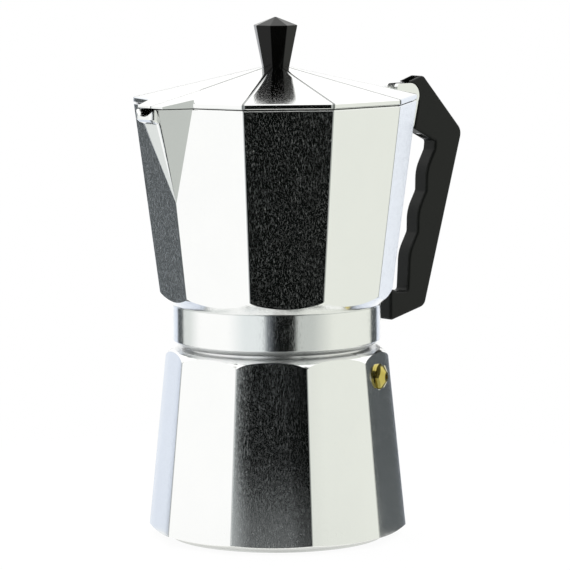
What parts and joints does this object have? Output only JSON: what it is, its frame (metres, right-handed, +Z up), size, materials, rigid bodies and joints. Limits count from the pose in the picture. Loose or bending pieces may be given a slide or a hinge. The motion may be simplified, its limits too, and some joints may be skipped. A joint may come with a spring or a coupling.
{
  "type": "moka pot",
  "caption": "Faceted stove-top coffee pot: screwed boiler and jug with spout, hinged lid with knob, moulded side handle, safety valve, funnel, filter and gasket.",
  "frame": {"origin": "centre of the base, on the plane the pot stands on", "axes": "+Z up along the pot's axis, +X towards the handle, spout towards -X"},
  "size_m": [0.2012, 0.13, 0.25],
  "materials": {
    "boiler": "polished, fine brushed facets",
    "valve_body": "turned and polished",
    "valve_seat": "turned",
    "valve_plunger": "turned",
    "valve_spring": "drawn wire",
    "funnel": "spun, satin",
    "funnel_screen": "punched, satin",
    "gasket": "moulded, matt",
    "filter_plate": "punched, satin",
    "chamber": "polished, fine brushed facets",
    "riser_column": "cast, satin",
    "column_cap": "turned, satin",
    "hinge_pin": "drawn",
    "handle": "moulded, satin",
    "handle_screw": "rolled, bright",
    "handle_washer": "stamped",
    "lid": "polished",
    "knob": "moulded, semi-gloss",
    "knob_insert": "turned",
    "knob_screw": "rolled, bright",
    "knob_washer": "stamped"
  },
  "bodies": {
    "boiler": {"boiler": "boiler", "valve_body": "valve_body", "valve_seat": "valve_seat", "valve_spring": "valve_spring"},
    "valve_plunger": {"valve_plunger": "valve_plunger"},
    "funnel": {"funnel": "funnel", "funnel_screen": "funnel_screen"},
    "seal": {"gasket": "gasket", "filter_plate": "filter_plate"},
    "chamber": {"chamber": "chamber", "riser_column": "riser_column", "column_cap": "column_cap", "hinge_pin": "hinge_pin", "handle": "handle", "handle_screw": "handle_screw", "handle_washer": "handle_washer"},
    "lid": {"lid": "lid", "knob": "knob", "knob_insert": "knob_insert", "knob_screw": "knob_screw", "knob_washer": "knob_washer"}
  },
  "joints": [
    {"name": "seal_rise", "type": "slide", "parent": "boiler", "child": "seal", "axis": [0, 0, 1], "range_m": [0, 0.012]},
    {"name": "chamber_unscrew", "type": "hinge", "parent": "seal", "child": "chamber", "pos_m": [0, 0, 0.1], "axis": [0, 0, 1], "range_deg": [0, 1080]},
    {"name": "funnel_lift", "type": "slide", "parent": "boiler", "child": "funnel", "axis": [0, 0, 1], "range_m": [0, 0.012]},
    {"name": "lid_hinge", "type": "hinge", "parent": "chamber", "child": "lid", "pos_m": [0.084, 0, 0.2088], "axis": [0, 1, 0], "range_deg": [0, 110]},
    {"name": "valve_lift", "type": "slide", "parent": "boiler", "child": "valve_plunger", "axis": [0.4695, -0.8829, 0], "range_m": [0, 0.002], "stiffness_N_per_m": 600, "springref_m": -0.001, "deforming": ["valve_spring"]}
  ],
  "couplings": [
    {"joint": "seal_rise", "follows": "chamber_unscrew", "m_per_rad": 0.00063662},
    {"joint": "funnel_lift", "follows": "chamber_unscrew", "m_per_rad": 0.00063662}
  ]
}
